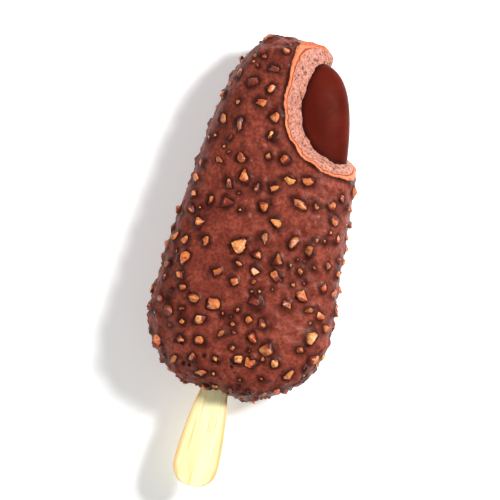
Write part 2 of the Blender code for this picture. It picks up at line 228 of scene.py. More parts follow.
# How finely the pieces are divided.
COATING_RINGS = 262
COATING_AROUND = 292
INNER_RINGS = 60
INNER_AROUND = 84
CORE_RINGS = 190
CORE_AROUND = 200
BITE_LEVELS = 64
BITE_AROUND = 660
NUT_CUTS = 3
CRUMB_CUTS = 1
STICK_POINTS = 160
STICK_SHARP = 50.0  # edges sharper than this, in degrees, are rounded
OUTLINE_POINTS = 3000  # by which an outline is measured before it is divided

# Steps along the bar and round it by which directions and areas are measured.
NORMAL_STEP = 0.0002
NORMAL_TURN = 0.01
AREA_STEP = 0.001
AREA_TURN = 0.05
AREA_SAMPLES = 40


def srgb(red, green, blue):
    """An 8-bit screen colour as the linear one that a shader takes."""
    shares = [value / 255.0 for value in (red, green, blue)]
    return tuple(s / 12.92 if s <= 0.04045 else ((s + 0.055) / 1.055) ** 2.4 for s in shares)


def colour_value(name, description, default):
    return FloatVectorProperty(
        name=name, description=description, default=default, subtype="COLOR", size=3, min=0.0, max=1.0
    )


def length_value(name, description, default, most=0.01):
    return FloatProperty(
        name=name, description=description, default=default, unit="LENGTH", precision=5, min=0.0, max=most
    )


def share_value(name, description, default, most):
    return FloatProperty(
        name=name, description=description, default=default, subtype="FACTOR", min=0.0, max=most
    )


def count_value(name, description, default):
    return IntProperty(name=name, description=description, default=default, min=0)


def power_value(name, description, default):
    return FloatProperty(name=name, description=description, default=default, unit="POWER", min=0.0)


class IceBarShape(bpy.types.PropertyGroup):
    """Sizes of the details that the solids leave out."""

    crumbs: count_value("Crumbs", "Small nut crumbs over the whole bar", 120)
    lumps: count_value("Lumps", "Lumps wholly under the chocolate", 300)
    foot_lumps: count_value("Foot lumps", "Small lumps where the chocolate ran together at the foot", 120)
    skirt: share_value("Skirt", "How high chocolate climbs a nut, as a share of its size", 0.10, 0.5)
    ripple: length_value("Ripple", "Depth of the chocolate's ripples", 0.00020)
    grain: length_value("Grain", "Depth of the chocolate's fine grain", 0.00005)
    nut_rough: share_value("Nut roughness", "Unevenness of a nut's faces, by its size", 0.055, 0.2)
    bite_rough: length_value("Bite roughness", "Depth of the crumbly grain of the bitten face", 0.00022)
    bite_wave: length_value("Bite waves", "Depth of the broader waves of the bitten face", 0.00030)


class IceBarColours(bpy.types.PropertyGroup):
    """Colours of the bar's finishes."""

    chocolate: colour_value("Chocolate", "Coating where it is thick", srgb(146, 69, 53))
    # also the painted shade on the lower sides of the nuts
    chocolate_dark: colour_value("Dark chocolate", "Darker blotches of the coating", srgb(84, 30, 23))
    # painted shade: the colour laid into the coating's creases and round the core's edge
    crevice: colour_value("Crevice", "Creases of the coating and the core", srgb(36, 12, 9))
    nut_pale: colour_value("Pale nut", "Freshly cut faces of the nuts", srgb(255, 184, 108))
    nut_golden: colour_value("Golden nut", "Roasted faces of the nuts", srgb(208, 92, 40))
    nut_brown: colour_value("Brown nut", "Darkest roasted nuts", srgb(138, 54, 26))
    rim: colour_value("Rim", "Cut edge of the coating", srgb(208, 128, 90))
    rim_outside: colour_value("Rim outside", "Outermost part of the coating's cut edge", srgb(186, 88, 48))
    rim_line: colour_value("Rim line", "Thin dark line within the coating's cut edge", srgb(142, 54, 24))
    ice_cream: colour_value("Ice cream", "Ice cream in its body", srgb(173, 107, 87))
    # pale flecks: partly frozen grains, partly painted glints
    ice_cream_pale: colour_value("Pale ice cream", "Icy grains in the ice cream", srgb(226, 178, 160))
    ice_cream_deep: colour_value("Deep ice cream", "Pinker blotches of the ice cream", srgb(146, 78, 60))
    speck: colour_value("Specks", "Specks in the ice cream", srgb(92, 46, 34))
    core: colour_value("Core", "Chocolate core", srgb(86, 24, 15))
    core_dark: colour_value("Dark core", "Darker blotches of the core", srgb(62, 12, 7))
    wood: colour_value("Wood", "Stick's pale wood", srgb(255, 250, 198))
    wood_grain: colour_value("Wood grain", "Stick's grain lines", srgb(251, 239, 164))
    wood_edge: colour_value("Wood edge", "Stick's edges", srgb(232, 176, 98))


class IceBarStage(bpy.types.PropertyGroup):
    """Camera, lights and floor."""

    floor: colour_value("Floor", "Colour of the floor", (0.95, 0.95, 0.945))
    glow: FloatProperty(name="Floor glow", description="How strongly it shines", default=0.28, min=0.0)
    key: power_value("Key light", "Power of the light from the right", 5.2)
    fill: power_value("Fill light", "Power of the soft light from the left", 3.1)
    sky: FloatProperty(name="Sky", description="Strength of the pale surroundings", default=0.22, min=0.0)
    lens: FloatProperty(name="Lens", description="Focal length in millimetres", default=300.0, min=50.0)


# The bar's form


class Layer:
    """One rounded body of the bar, set in from the outer skin at its sides, faces, foot and tip."""

    def __init__(self, side=0.0, face=0.0, foot=0.0, tip=0.0):
        self.side = side
        self.face = face
        self.foot = foot
        self.tip = tip

    def half_width(self, along):
        line = WIDEST_HALF - TAPER * max(0.0, along - FOOT_ROUND) - self.side
        foot = rounding((FOOT_ROUND - along) / (FOOT_ROUND - self.foot), FOOT_POWER)
        tip = rounding((along - LENGTH + TIP_ROUND) / (TIP_ROUND - self.tip), TIP_POWER)
        return line * foot * tip

    def half_thickness(self, along):
        line = HALF_THICKNESS - THICKNESS_TAPER * max(0.0, along - FACE_FOOT_ROUND) - self.face
        foot = rounding((FACE_FOOT_ROUND - along) / (FACE_FOOT_ROUND - self.foot), FACE_POWER)
        tip = rounding((along - LENGTH + FACE_TIP_ROUND) / (FACE_TIP_ROUND - self.tip), FACE_POWER)
        return line * foot * tip

    def point(self, along, turn):
        """A point of the skin, with the bar's axis at x = z = 0 and its foot at y = 0."""
        across = self.half_width(along) * signed_power(math.cos(turn), 2.0 / SECTION_POWER)
        up = self.half_thickness(along) * signed_power(math.sin(turn), 2.0 / SECTION_POWER)
        return Vector((across, along, up))

    def normal(self, along, turn):
        """The direction straight out of the skin."""
        low = max(along - NORMAL_STEP, 0.0)
        high = min(along + NORMAL_STEP, LENGTH)
        lengthwise = self.point(high, turn) - self.point(low, turn)
        round_about = self.point(along, turn + NORMAL_TURN) - self.point(along, turn - NORMAL_TURN)
        return lengthwise.cross(round_about).normalized()

    def fullness(self, point):
        """1 on the skin, less inside it and more outside."""
        along = min(max(point.y, self.foot), LENGTH - self.tip)
        width = max(self.half_width(along), GAP)
        height = max(self.half_thickness(along), GAP)
        return (abs(point.x) / width) ** SECTION_POWER + (abs(point.z) / height) ** SECTION_POWER


def rounding(depth, power):
    """Share of the full size left at a depth that runs from 0, where an end begins, to 1, at its tip."""
    depth = min(1.0, max(0.0, depth))
    return (1.0 - depth**power) ** (1.0 / power)


def signed_power(value, power):
    return math.copysign(abs(value) ** power, value)


def smooth_step(value):
    value = min(1.0, max(0.0, value))
    return value * value * (3.0 - 2.0 * value)


OUTER = Layer()
COATING_INSIDE = Layer(COATING, COATING, COATING, COATING)
ICE_CREAM = Layer(*[COATING - SNUG] * 4)
CORE = Layer(CORE_SIDE, CORE_FACE, CORE_FOOT, CORE_TIP)
CORE_HOLE = Layer(CORE_SIDE + SNUG, CORE_FACE + SNUG, CORE_FOOT + SNUG, CORE_TIP + SNUG)


def placed(point):
    """A point given from the bar's axis and foot, in the part's own frame."""
    return Vector((point.x, point.y - ORIGIN_ALONG, point.z + REST_DEPTH))


def unplaced(point):
    return Vector((point.x, point.y + ORIGIN_ALONG, point.z - REST_DEPTH))


def relief(point):
    """How far the chocolate stands out at a point, from two sizes of smooth noise."""
    coarse = noise.noise(point / RELIEF_COARSE_SIZE)
    fine = noise.noise(point / RELIEF_FINE_SIZE + Vector((7.0, 3.0, 5.0)))
    return RELIEF_COARSE * coarse + RELIEF_FINE * fine


def dent(point):
    """How far the foot is drawn in along the bar round the stick."""
    across = math.exp(-(((point.x - STICK_X) / DENT_HALF_WIDTH) ** 2))
    through = math.exp(-((point.z / DENT_HALF_DEPTH) ** 2))
    near_foot = max(0.0, 1.0 - point.y / DENT_REACH)
    return DENT_DEPTH * across * through * near_foot


def bite_share(level):
    """How far the bite has narrowed at a level: 1 is on the shown surface and -1 on the back."""
    depth = max(0.0, 1.0 - level)
    behind = min(1.0, max(0.0, -level))
    return BITE_REACH * depth / (depth + BITE_SLOPE) * (1.0 - BITE_BACK * behind**2)


def bite_sizes(share):
    return {key: BITE_FACE[key] + (BITE_DEEP[key] - BITE_FACE[key]) * share for key in BITE_FACE}


def bite_shoulder(along, share):
    """How far the outline leans left over the rounded tip."""
    past = min(BITE_SHOULDER_REACH, max(0.0, along - BITE_SHOULDER_ALONG))
    return BITE_SHOULDER_CURVE * past * past * share


def bite_fall(across, share):
    """How far the outline falls towards the foot at the bar's right side."""
    return BITE_LEDGE_FALL * share * min(BITE_LEDGE_REACH, max(0.0, across - BITE_LEDGE_X))


def surface_height(across, along):
    """How far the bar's surface stands above its axis, and no less than the bite's thinnest."""
    along = min(along, LENGTH)
    width = max(OUTER.half_width(along), BITE_THINNEST)
    side = rounding(abs(across) / width, SECTION_POWER)
    return max(BITE_THINNEST, OUTER.half_thickness(along) * side)


def bite_point(level, turn):
    """A point of the bite's wall. The levels lie closer together where the bar is thinner."""
    share = bite_share(level)
    sizes = bite_sizes(share)
    tooth = 1.0 + BITE_SCALLOP * abs(math.sin(BITE_TEETH * turn))
    reach = sizes["up"] if math.sin(turn) > 0.0 else sizes["down"]
    along = sizes["along"] + reach * tooth * signed_power(math.sin(turn), 2.0 / BITE_POWER)
    across = sizes["x"] + sizes["across"] * tooth * signed_power(math.cos(turn), 2.0 / BITE_POWER)
    across -= bite_shoulder(along, share)
    along -= bite_fall(across, share)
    return Vector((across, along, level * surface_height(across, along)))


def bite_offset(point):
    """How far a point lies across and along from the bite's middle, and how far the bite reaches there."""
    share = bite_share(point.z / surface_height(point.x, point.y))
    sizes = bite_sizes(share)
    across = abs(point.x + bite_shoulder(point.y, share) - sizes["x"])
    offset = point.y + bite_fall(point.x, share) - sizes["along"]
    reach = sizes["up"] if offset > 0.0 else sizes["down"]
    return across, abs(offset), sizes["across"], reach


def in_bite(point, margin):
    """Whether a point lies in the bite, or nearer to it than the margin."""
    across, offset, half, reach = bite_offset(point)
    return (across / (half + margin)) ** BITE_POWER + (offset / (reach + margin)) ** BITE_POWER < 1.0


def bite_distance(point):
    """Roughly how far a point lies outside the bite, below zero inside it."""
    across, offset, half, reach = bite_offset(point)
    fullness = (across / half) ** BITE_POWER + (offset / reach) ** BITE_POWER
    return (fullness ** (1.0 / BITE_POWER) - 1.0) * half


def stick_half_width(along):
    """Half the stick's width at a distance along the bar, below zero outside the foot."""
    flare = min(1.0, max(0.0, (STICK_FLARE_START - along) / STICK_FLARE_LENGTH))
    width = STICK_HALF_NECK + STICK_HALF_FLARE * math.sin(flare * math.pi / 2.0)
    top = STICK_LENGTH - STICK_OUT
    end = rounding((along - top + STICK_TOP_ROUND) / STICK_TOP_ROUND, 2.0)
    free = rounding((STICK_END_ROUND - STICK_OUT - along) / STICK_END_ROUND, 2.2)
    return width * end * free


# Where the nuts, the crumbs and the lumps lie


def area_of(along, turn):
    """The skin's area for a small step along and round at a place, to spread the nuts evenly."""
    lengthwise = OUTER.point(min(along + AREA_STEP, LENGTH), turn) - OUTER.point(along, turn)
    round_about = OUTER.point(along, turn + AREA_TURN) - OUTER.point(along, turn)
    return lengthwise.cross(round_about).length


def turn_of(across, along):
    """The angle at which the shown face lies at a distance across."""
    share = min(0.999, abs(across) / OUTER.half_width(along))
    return math.acos(math.copysign(share ** (SECTION_POWER / 2.0), across))


def nut_fits(place, size, others, spacing):
    """Whether a nut there stays clear of the bite, the stick, the resting flat and its neighbours."""
    if in_bite(place, 0.5 * size + NUT_CLEAR):
        return False
    by_stick = abs(place.x - STICK_X) < STICK_HALF_NECK + 0.6 * size and place.y < NUT_STICK_ALONG
    if by_stick and abs(place.z) < NUT_STICK_DEPTH + 0.5 * size:
        return False
    if place.z < -REST_DEPTH + GAP:
        return False
    return all((place - other).length > 0.5 * (size + far) + spacing for other, far in others)


def scatter(draw, count, largest, smallest, taken, spacing):
    """Places spread evenly over the skin by a seeded draw, the largest first, clear of those taken."""
    steps = range(AREA_SAMPLES)
    most = max(
        area_of(LENGTH * i / AREA_SAMPLES, math.tau * j / AREA_SAMPLES) for i in steps for j in steps
    )
    places = []
    first = len(taken)
    while len(taken) < first + count:
        share = (len(taken) - first) / count
        size = smallest + (largest - smallest) * (1.0 - share) ** 2
        along = draw.uniform(0.0, LENGTH)
        turn = draw.uniform(0.0, math.tau)
        if draw.uniform(0.0, most) > area_of(along, turn):
            continue
        place = OUTER.point(along, turn)
        if draw.uniform(0.0, 1.0) > 0.5 + NUT_CLUSTER * noise.noise(place / NUT_CLUSTER_SIZE):
            continue
        if nut_fits(place, size, taken, spacing):
            taken.append((place, size))
            places.append((place, OUTER.normal(along, turn), size))
    return places


def nut_places():
    """The nuts of the solids: place, direction out of the skin and size."""
    places = []
    for across, along, size in LARGE_NUTS:
        turn = turn_of(across, along)
        places.append((OUTER.point(along, turn), OUTER.normal(along, turn), size))
    taken = [(place, size) for place, _, size in places]
    rest = NUT_COUNT - len(LARGE_NUTS)
    return places + scatter(random.Random(NUT_SEED), rest, NUT_LARGEST, NUT_SMALLEST, taken, NUT_SPACING)


def nut_seat(place, outward):
    """Where a place of the smooth skin lies once the chocolate is uneven and its foot drawn in."""
    return place + outward * relief(place) + Vector((0.0, dent(place), 0.0))


def nut_corners(size, draw):
    """Corners of a chopped nut: spread round a ball, knocked aside, then stretched and turned."""
    stretch = draw.uniform(*NUT_STRETCH)
    turned = Euler([draw.uniform(0.0, math.tau) for _ in range(3)])
    corners = []
    for i in range(NUT_CORNERS):
        up = 1.0 - (2.0 * i + 1.0) / NUT_CORNERS
        flat = math.sqrt(1.0 - up * up)
        corner = Vector((flat * math.cos(i * GOLDEN_ANGLE), flat * math.sin(i * GOLDEN_ANGLE), up))
        corner += Vector([draw.uniform(-NUT_KNOCK, NUT_KNOCK) for _ in range(3)])
        corner.x *= stretch
        corner.rotate(turned)
        corners.append(Vector((corner.x, corner.y, corner.z * NUT_FLAT - 2.0 * NUT_SINK)) * size / 2.0)
    return corners


def all_places(shape):
    """Places of the nuts, the crumbs and the lumps, each kind clear of those before it."""
    nuts = nut_places()
    taken = [(place, size) for place, _, size in nuts]
    crumbs = scatter(random.Random(CRUMB_SEED), shape.crumbs, CRUMB_LARGEST, CRUMB_SMALLEST, taken, GAP)
    lumps = scatter(random.Random(LUMP_SEED), shape.lumps, LUMP_LARGEST, LUMP_SMALLEST, taken, -GAP)
    return nuts, crumbs, lumps


class Swellings:
    """How the chocolate rises over lumps and climbs the nuts and the crumbs."""

    def __init__(self, shape):
        nuts, crumbs, lumps = all_places(shape)
        draw = random.Random(LUMP_SEED + 1)
        self.rows = []
        for place, _, size in nuts + crumbs:
            height = size * shape.skirt * draw.uniform(*SKIRT_HEIGHTS)
            width = SKIRT_WIDTH * draw.uniform(*SKIRT_WIDTHS)
            self.rows.append((place, SKIRT_START * size, width, height, Vector()))
        for across, along in RIDGE:
            place = OUTER.point(along, turn_of(across, along))
            self.rows.append((place, 0.0, RIDGE_SIZE * LUMP_WIDTH, RIDGE_SIZE * LUMP_HEIGHT, Vector()))
        for place, outward, size in lumps:
            height = size * LUMP_HEIGHT * draw.uniform(*LUMP_HEIGHTS)
            spin = draw.uniform(0.0, math.tau)
            facing = outward.to_track_quat("Z", "Y")
            grain = facing @ Vector((math.cos(spin), math.sin(spin), 0.0)) * draw.uniform(0.0, LUMP_STRETCH)
            self.rows.append((place, 0.0, size * LUMP_WIDTH, height, grain))
        for _ in range(shape.foot_lumps):
            along = FOOT_LUMP_REACH * draw.random() ** FOOT_LUMP_CROWD
            place = OUTER.point(along, draw.uniform(0.0, math.tau))
            size = draw.uniform(LUMP_SMALLEST, FOOT_LUMP_LARGEST)
            self.rows.append((place, 0.0, size * FOOT_LUMP_WIDTH, size * FOOT_LUMP_HEIGHT, Vector()))
        self.tree = kdtree.KDTree(len(self.rows))
        for index, row in enumerate(self.rows):
            self.tree.insert(row[0], index)
        self.tree.balance()

    def around(self, point):
        """Each swelling near a point, with the distance from its edge."""
        stir = 1.0 + EDGE_STIR * noise.noise(point / EDGE_STIR_SIZE)
        for _, index, _ in self.tree.find_range(point, WIDEST_REACH):
            place, radius, width, height, grain = self.rows[index]
            away = point - place
            away -= grain * away.dot(grain)
            yield away.length * stir - radius, width, height

    def lift(self, point):
        rise = 0.0
        for edge, width, height in self.around(point):
            rise = max(rise, height * smooth_step(1.0 - max(0.0, edge) / width))
        return rise


def pit(point):
    """How deep a point lies in one of the small pits by the foot, from 0 to 1."""
    if point.z < 0.0:
        return 0.0
    depths = (2.0 - 4.0 * math.hypot(point.x - x, point.y - y) / size for x, y, size in PITS)
    return smooth_step(max(depths))


# Meshes


def even_steps(outline, count, first, last):
    """Values from first to last at which the outline's points lie equally far apart."""
    shares = np.linspace(0.0, 1.0, OUTLINE_POINTS)
    values = first + (last - first) * (1.0 - np.cos(np.pi * shares)) / 2.0
    points = np.array([outline(value) for value in values])
    walked = np.concatenate(([0.0], np.cumsum(np.linalg.norm(np.diff(points, axis=0), axis=1))))
    return np.interp(np.linspace(0.0, walked[-1], count), walked, values)


def bridge_rings(bm, rings, closed_ends):
    """Faces between rings of vertices in order, with a fan or a flat cap at each end."""
    for lower, upper in zip(rings, rings[1:]):
        count = len(lower)
        for i in range(count):
            j = (i + 1) % count
            bm.faces.new((lower[i], lower[j], upper[j], upper[i]))
    for ring, end in zip((rings[0], rings[-1]), closed_ends):
        if end is None:
            bm.faces.new(ring)
            continue
        tip = bm.verts.new(end)
        for i in range(len(ring)):
            bm.faces.new((ring[i], ring[(i + 1) % len(ring)], tip))


def build_skin(name, layer, rings, around, lift=None):
    """The closed surface of a layer, with points evenly spaced along and round it."""
    first = layer.foot
    last = LENGTH - layer.tip
    alongs = even_steps(lambda a: (a, layer.half_width(a), layer.half_thickness(a)), rings + 1, first, last)
    turns = even_steps(lambda t: tuple(layer.point(ORIGIN_ALONG, t)), around + 1, 0.0, math.tau)[:-1]
    bm = bmesh.new()
    made = [[bm.verts.new(layer.point(along, turn)) for turn in turns] for along in alongs[1:-1]]
    bridge_rings(bm, made, (Vector((0.0, first, 0.0)), Vector((0.0, last, 0.0))))
    bmesh.ops.recalc_face_normals(bm, faces=bm.faces)
    bm.normal_update()
    for vertex in bm.verts:
        rest = vertex.co.copy()
        if lift:
            vertex.co += vertex.normal * lift(rest)
        vertex.co.y += dent(rest)
        vertex.co = placed(vertex.co)
        if lift:
            vertex.co.z = max(0.0, vertex.co.z)
    return finished_mesh(name, bm)


def finished_mesh(name, bm):
    bmesh.ops.recalc_face_normals(bm, faces=bm.faces)
    mesh = bpy.data.meshes.new(name)
    bm.to_mesh(mesh)
    bm.free()
    return mesh


def build_bite(shape, materials):
    """The closed tube that takes the bite away, with the grain and the waves of a bitten face.

    The faces that it leaves take the last of the materials.
    """
    levels = [1.0 - 2.0 * i / BITE_LEVELS for i in range(BITE_LEVELS + 1)]
    turns = [math.tau * i / BITE_AROUND for i in range(BITE_AROUND)]
    outlines = []
    for level in levels:
        outline = []
        for turn in turns:
            point = bite_point(level, turn)
            grain = noise.noise(point / BITE_ROUGH_SIZE) * shape.bite_rough
            wave = noise.noise(point / BITE_WAVE_SIZE) * shape.bite_wave
            point.x -= (grain + wave) * math.cos(turn)
            point.y -= (grain + wave) * math.sin(turn)
            outline.append(point)
        outlines.append(outline)
    above = 2.0 * HALF_THICKNESS
    top = [Vector((point.x, point.y, above)) for point in outlines[0]]
    bottom = [Vector((point.x, point.y, -above)) for point in outlines[-1]]
    bm = bmesh.new()
    rings = [[bm.verts.new(placed(point)) for point in outline] for outline in (top, *outlines, bottom)]
    bridge_rings(bm, rings, (None, None))
    mesh = finished_mesh("bite_cutter", bm)
    for material in materials:
        mesh.materials.append(material)
    mesh.polygons.foreach_set("material_index", [len(materials) - 1] * len(mesh.polygons))
    return helper("bite_cutter", mesh)


def build_slot():
    """The box that makes room for the stick inside the bar."""
    half = STICK_HALF_NECK + GAP
    low = placed(Vector((STICK_X - half, -DENT_DEPTH, -STICK_THICKNESS / 2.0 - GAP)))
    high = placed(Vector((STICK_X + half, STICK_LENGTH - STICK_OUT + GAP, STICK_THICKNESS / 2.0 + GAP)))
    bm = bmesh.new()
    bmesh.ops.create_cube(bm, size=1.0)
    for vertex in bm.verts:
        vertex.co = Vector([low[i] if vertex.co[i] < 0.0 else high[i] for i in range(3)])
    return helper("slot_cutter", finished_mesh("slot_cutter", bm))


def new_object(name, data):
    thing = bpy.data.objects.new(name, data)
    bpy.context.scene.collection.objects.link(thing)
    return thing


def helper(name, mesh):
    """An object that only cuts others, and isn't rendered."""
    thing = new_object(name, mesh)
    thing.hide_render = True
    thing.display_type = "WIRE"
    return thing


def new_piece(name, mesh, *materials):
    """A piece of the bar with its materials, riding on the bar's body."""
    piece = new_object(name, mesh)
    for material in materials:
        mesh.materials.append(material)
    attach(piece, "root")
    return piece


def apply_modifiers(piece):
    """Makes what a piece's modifiers do part of its mesh, and returns the new mesh."""
    evaluated = piece.evaluated_get(bpy.context.evaluated_depsgraph_get())
    mesh = bpy.data.meshes.new_from_object(evaluated)
    piece.modifiers.clear()
    piece.data = mesh
    mesh.name = piece.name
    return mesh


def cut_away(piece, cutters):
    """Takes the cutters out of a piece and removes them. The cut faces keep the cutter's material."""
    for cutter in cutters:
        if not cutter.data.materials:
            cutter.data.materials.append(piece.data.materials[0])
        modifier = piece.modifiers.new(cutter.name, "BOOLEAN")
        modifier.operation = "DIFFERENCE"
        modifier.solver = "MANIFOLD"
        modifier.object = cutter
    mesh = apply_modifiers(piece)
    if not mesh.polygons:
        raise RuntimeError(f"nothing is left of {piece.name} once it is cut")
    for cutter in cutters:
        bpy.data.objects.remove(cutter)
    return mesh


def shade(mesh, sharp_degrees):
    mesh.shade_smooth()
    mesh.set_sharp_from_angle(angle=math.radians(sharp_degrees))


def point_values(mesh, name, values):
    """Keeps a number for each vertex, which a material reads by its name."""
    mesh.attributes.new(name, "FLOAT", "POINT").data.foreach_set("value", values)


def spot_values(mesh, name, rule):
    """Keeps what a rule makes of each vertex's place, given from the bar's axis and foot."""
    point_values(mesh, name, [rule(unplaced(vertex.co)) for vertex in mesh.vertices])


def nut_hull(corners):
    """The flat faces round a nut's outermost corners."""
    bm = bmesh.new()
    for corner in corners:
        bm.verts.new(corner)
    bmesh.ops.convex_hull(bm, input=bm.verts)
    bmesh.ops.delete(bm, geom=[vertex for vertex in bm.verts if not vertex.link_faces], context="VERTS")
    return bm


def chunk(place, outward, size, draw, cuts, rough, bare_side):
    """One chopped nut, worn and uneven, and how far each point lies to its bare side, by its size."""
    bm = nut_hull(nut_corners(size, draw))
    bmesh.ops.recalc_face_normals(bm, faces=bm.faces)
    bmesh.ops.subdivide_edges(bm, edges=bm.edges, cuts=cuts, use_grid_fill=True)
    bmesh.ops.smooth_vert(bm, verts=bm.verts, factor=0.5, use_axis_x=True, use_axis_y=True, use_axis_z=True)
    bm.normal_update()
    facing = outward.to_track_quat("Z", "Y")
    seat = nut_seat(place, outward)
    heights = []
    for vertex in bm.verts:
        wear = noise.noise(vertex.co / (NUT_PIT * size) + place / GAP)
        vertex.co += vertex.normal * wear * rough * size
        heights.append(vertex.co.dot(bare_side) / size)
    points = [placed(seat + facing @ vertex.co) for vertex in bm.verts]
    faces = [[vertex.index for vertex in face.verts] for face in bm.faces]
    bm.free()
    return points, faces, heights


def joined_chunks(name, places, seed, cuts, shape):
    """All the nuts of one kind as one mesh, with each nut's tone, bareness and height."""
    draw = random.Random(seed)
    mood = random.Random(seed + 1)
    points = []
    faces = []
    tones = []
    bare = []
    tops = []
    for place, outward, size in places:
        bare_side = Vector((mood.uniform(-NUT_LEAN, NUT_LEAN), mood.uniform(-NUT_LEAN, NUT_LEAN), 1.0))
        made = chunk(place, outward, size, draw, cuts, shape.nut_rough, bare_side)
        chunk_points, chunk_faces, heights = made
        first = len(points)
        points += [(p.x, p.y, max(0.0, p.z)) for p in chunk_points]
        faces += [[first + index for index in face] for face in chunk_faces]
        tone = mood.uniform(0.0, 1.0)
        covered = mood.choice(COVERED)
        tones += [tone] * len(chunk_points)
        bare += [smooth_step((height - covered) / BARE_FADE) for height in heights]
        tops += heights
    mesh = bpy.data.meshes.new(name)
    mesh.from_pydata(points, [], faces)
    point_values(mesh, "tone", tones)
    point_values(mesh, "bare", bare)
    point_values(mesh, "top", tops)
    return mesh


# Shader node groups and materials


class Nodes:
    """A short way to place and link the nodes of one tree."""

    def __init__(self, tree):
        self.tree = tree

    def add(self, kind, settings=None, **links):
        """A node with its settings; each link is a value or a socket, by the input's name."""
        made = self.tree.nodes.new("ShaderNode" + kind)
        for key, value in (settings or {}).items():
            setattr(made, key, value)
        for name, value in links.items():
            self.feed(made, name.replace("_", " "), value)
        return made

    def feed(self, made, name, value):
        """Links a socket to an input, or sets the input's value."""
        socket = made.inputs[int(name)] if name.isdigit() else made.inputs[name]
        if isinstance(value, bpy.types.NodeSocket):
            self.tree.links.new(value, socket)
        else:
            socket.default_value = (*value[:3], 1.0) if socket.type == "RGBA" else value

    def math(self, operation, *values):
        made = self.tree.nodes.new("ShaderNodeMath")
        made.operation = operation
        for index, value in enumerate(values):
            self.feed(made, str(index), value)
        return made.outputs[0]

    def blend(self, share, first, second):
        """The first colour turned into the second by a share."""
        made = self.add("Mix", {"data_type": "RGBA"})
        for index, value in ((0, share), (6, first), (7, second)):
            self.feed(made, str(index), value)
        return made.outputs[2]

    def spread(self, value, low, high, to_low=0.0, to_high=1.0):
        """Maps a value from one range to another, smoothly and within limits."""
        made = self.add("MapRange", {"interpolation_type": "SMOOTHSTEP"})
        for index, number in enumerate((value, low, high, to_low, to_high)):
            self.feed(made, str(index), number)
        return made.outputs[0]

    def group(self, group, **links):
        made = self.tree.nodes.new("ShaderNodeGroup")
        made.node_tree = group
        for name, value in links.items():
            self.feed(made, name, value)
        return made

    def grain(self, place, size, output="Height"):
        """Smooth noise of a size in metres, as a height or as a mask."""
        return self.group(grain_group(), Place=place, Size=size).outputs[output]

    def mottle(self, place, main, other, size, amount):
        """The main colour blotched with the other one, at a size in metres."""
        made = self.group(mottle_group(), Place=place, Size=size, Amount=amount, Main=main, Other=other)
        return made.outputs["Color"]

    def attribute(self, name):
        return self.add("Attribute", {"attribute_name": name}).outputs["Fac"]

    def place(self):
        return self.add("TexCoord").outputs["Object"]


def new_group(name, inputs, outputs):
    """An empty node group with named sockets, as (group, nodes, inputs, outputs)."""
    group = bpy.data.node_groups.new(name, "ShaderNodeTree")
    kinds = {"value": "NodeSocketFloat", "colour": "NodeSocketColor", "vector": "NodeSocketVector"}
    for direction, rows in (("INPUT", inputs), ("OUTPUT", outputs)):
        for socket_name, kind in rows:
            group.interface.new_socket(socket_name, in_out=direction, socket_type=kinds[kind])
    nodes = Nodes(group)
    start = group.nodes.new("NodeGroupInput").outputs
    end = group.nodes.new("NodeGroupOutput").inputs
    return group, nodes, start, end


def grain_group():
    """Smooth noise of a given size in metres, as a height and as a mask with more contrast."""
    name = "fine grain"
    if name in bpy.data.node_groups:
        return bpy.data.node_groups[name]
    group, nodes, start, end = new_group(
        name, (("Place", "vector"), ("Size", "value")), (("Height", "value"), ("Mask", "value"))
    )
    scale = nodes.math("DIVIDE", 1.0, start["Size"])
    texture = nodes.add("TexNoise", Vector=start["Place"], Scale=scale, Detail=3.0, Roughness=0.55)
    height = texture.outputs["Fac"]
    group.links.new(height, end["Height"])
    group.links.new(nodes.spread(height, 0.36, 0.64), end["Mask"])
    return group


def mottle_group():
    """One colour blotched with another, at a given size in metres."""
    name = "mottled colour"
    if name in bpy.data.node_groups:
        return bpy.data.node_groups[name]
    values = (("Place", "vector"), ("Size", "value"), ("Amount", "value"))
    inputs = (*values, ("Main", "colour"), ("Other", "colour"))
    group, nodes, start, end = new_group(name, inputs, (("Color", "colour"),))
    mask = nodes.grain(start["Place"], start["Size"], "Mask")
    share = nodes.math("MULTIPLY", mask, start["Amount"])
    group.links.new(nodes.blend(share, start["Main"], start["Other"]), end["Color"])
    return group


def new_material(name, roughness, gloss=0.5):
    """A material with its Principled shader, as (material, nodes, shader)."""
    material = bpy.data.materials.new(name)
    material.use_nodes = True
    shader = material.node_tree.nodes["Principled BSDF"]
    shader.inputs["Roughness"].default_value = roughness
    shader.inputs["Specular IOR Level"].default_value = gloss
    return material, Nodes(material.node_tree), shader


def set_bump(nodes, shader, rows):
    """Bumps from (height socket, depth in metres, strength), one on top of the other."""
    normal = None
    for height, depth, strength in rows:
        bump = nodes.add("Bump", Strength=strength, Distance=depth, Height=height)
        if normal:
            nodes.feed(bump, "Normal", normal)
        normal = bump.outputs["Normal"]
    nodes.feed(shader, "Normal", normal)


def chocolate_colour(nodes, place, colours):
    """The coating's colour: broad and fine blotches of a darker chocolate."""
    broad = nodes.mottle(place, colours.chocolate, colours.chocolate_dark, size=0.0046, amount=0.50)
    return nodes.mottle(place, broad, colours.chocolate_dark, size=0.0009, amount=0.62)


def chocolate_material(colours):
    """Milk chocolate, satin and uneven, with painted shade in its creases."""
    material, nodes, shader = new_material("milk chocolate", 0.46, gloss=0.17)
    shader.inputs["Specular Tint"].default_value = (1.0, 0.60, 0.50, 1.0)
    place = nodes.place()
    colour = chocolate_colour(nodes, place, colours)
    # painted shade beside the nuts, the bite and the pits
    painted_shade_share = nodes.math("MULTIPLY", nodes.attribute("crevice"), COATING_SHADE_DARKNESS)
    nodes.feed(shader, "Base Color", nodes.blend(painted_shade_share, colour, colours.crevice))
    fine = nodes.grain(place, 0.0006)
    broad = nodes.grain(place, 0.0019)
    nodes.feed(shader, "Roughness", nodes.spread(broad, 0.3, 0.7, 0.33, 0.55))
    set_bump(nodes, shader, ((broad, 0.00016, 0.8), (fine, 0.00006, 0.7)))
    return material


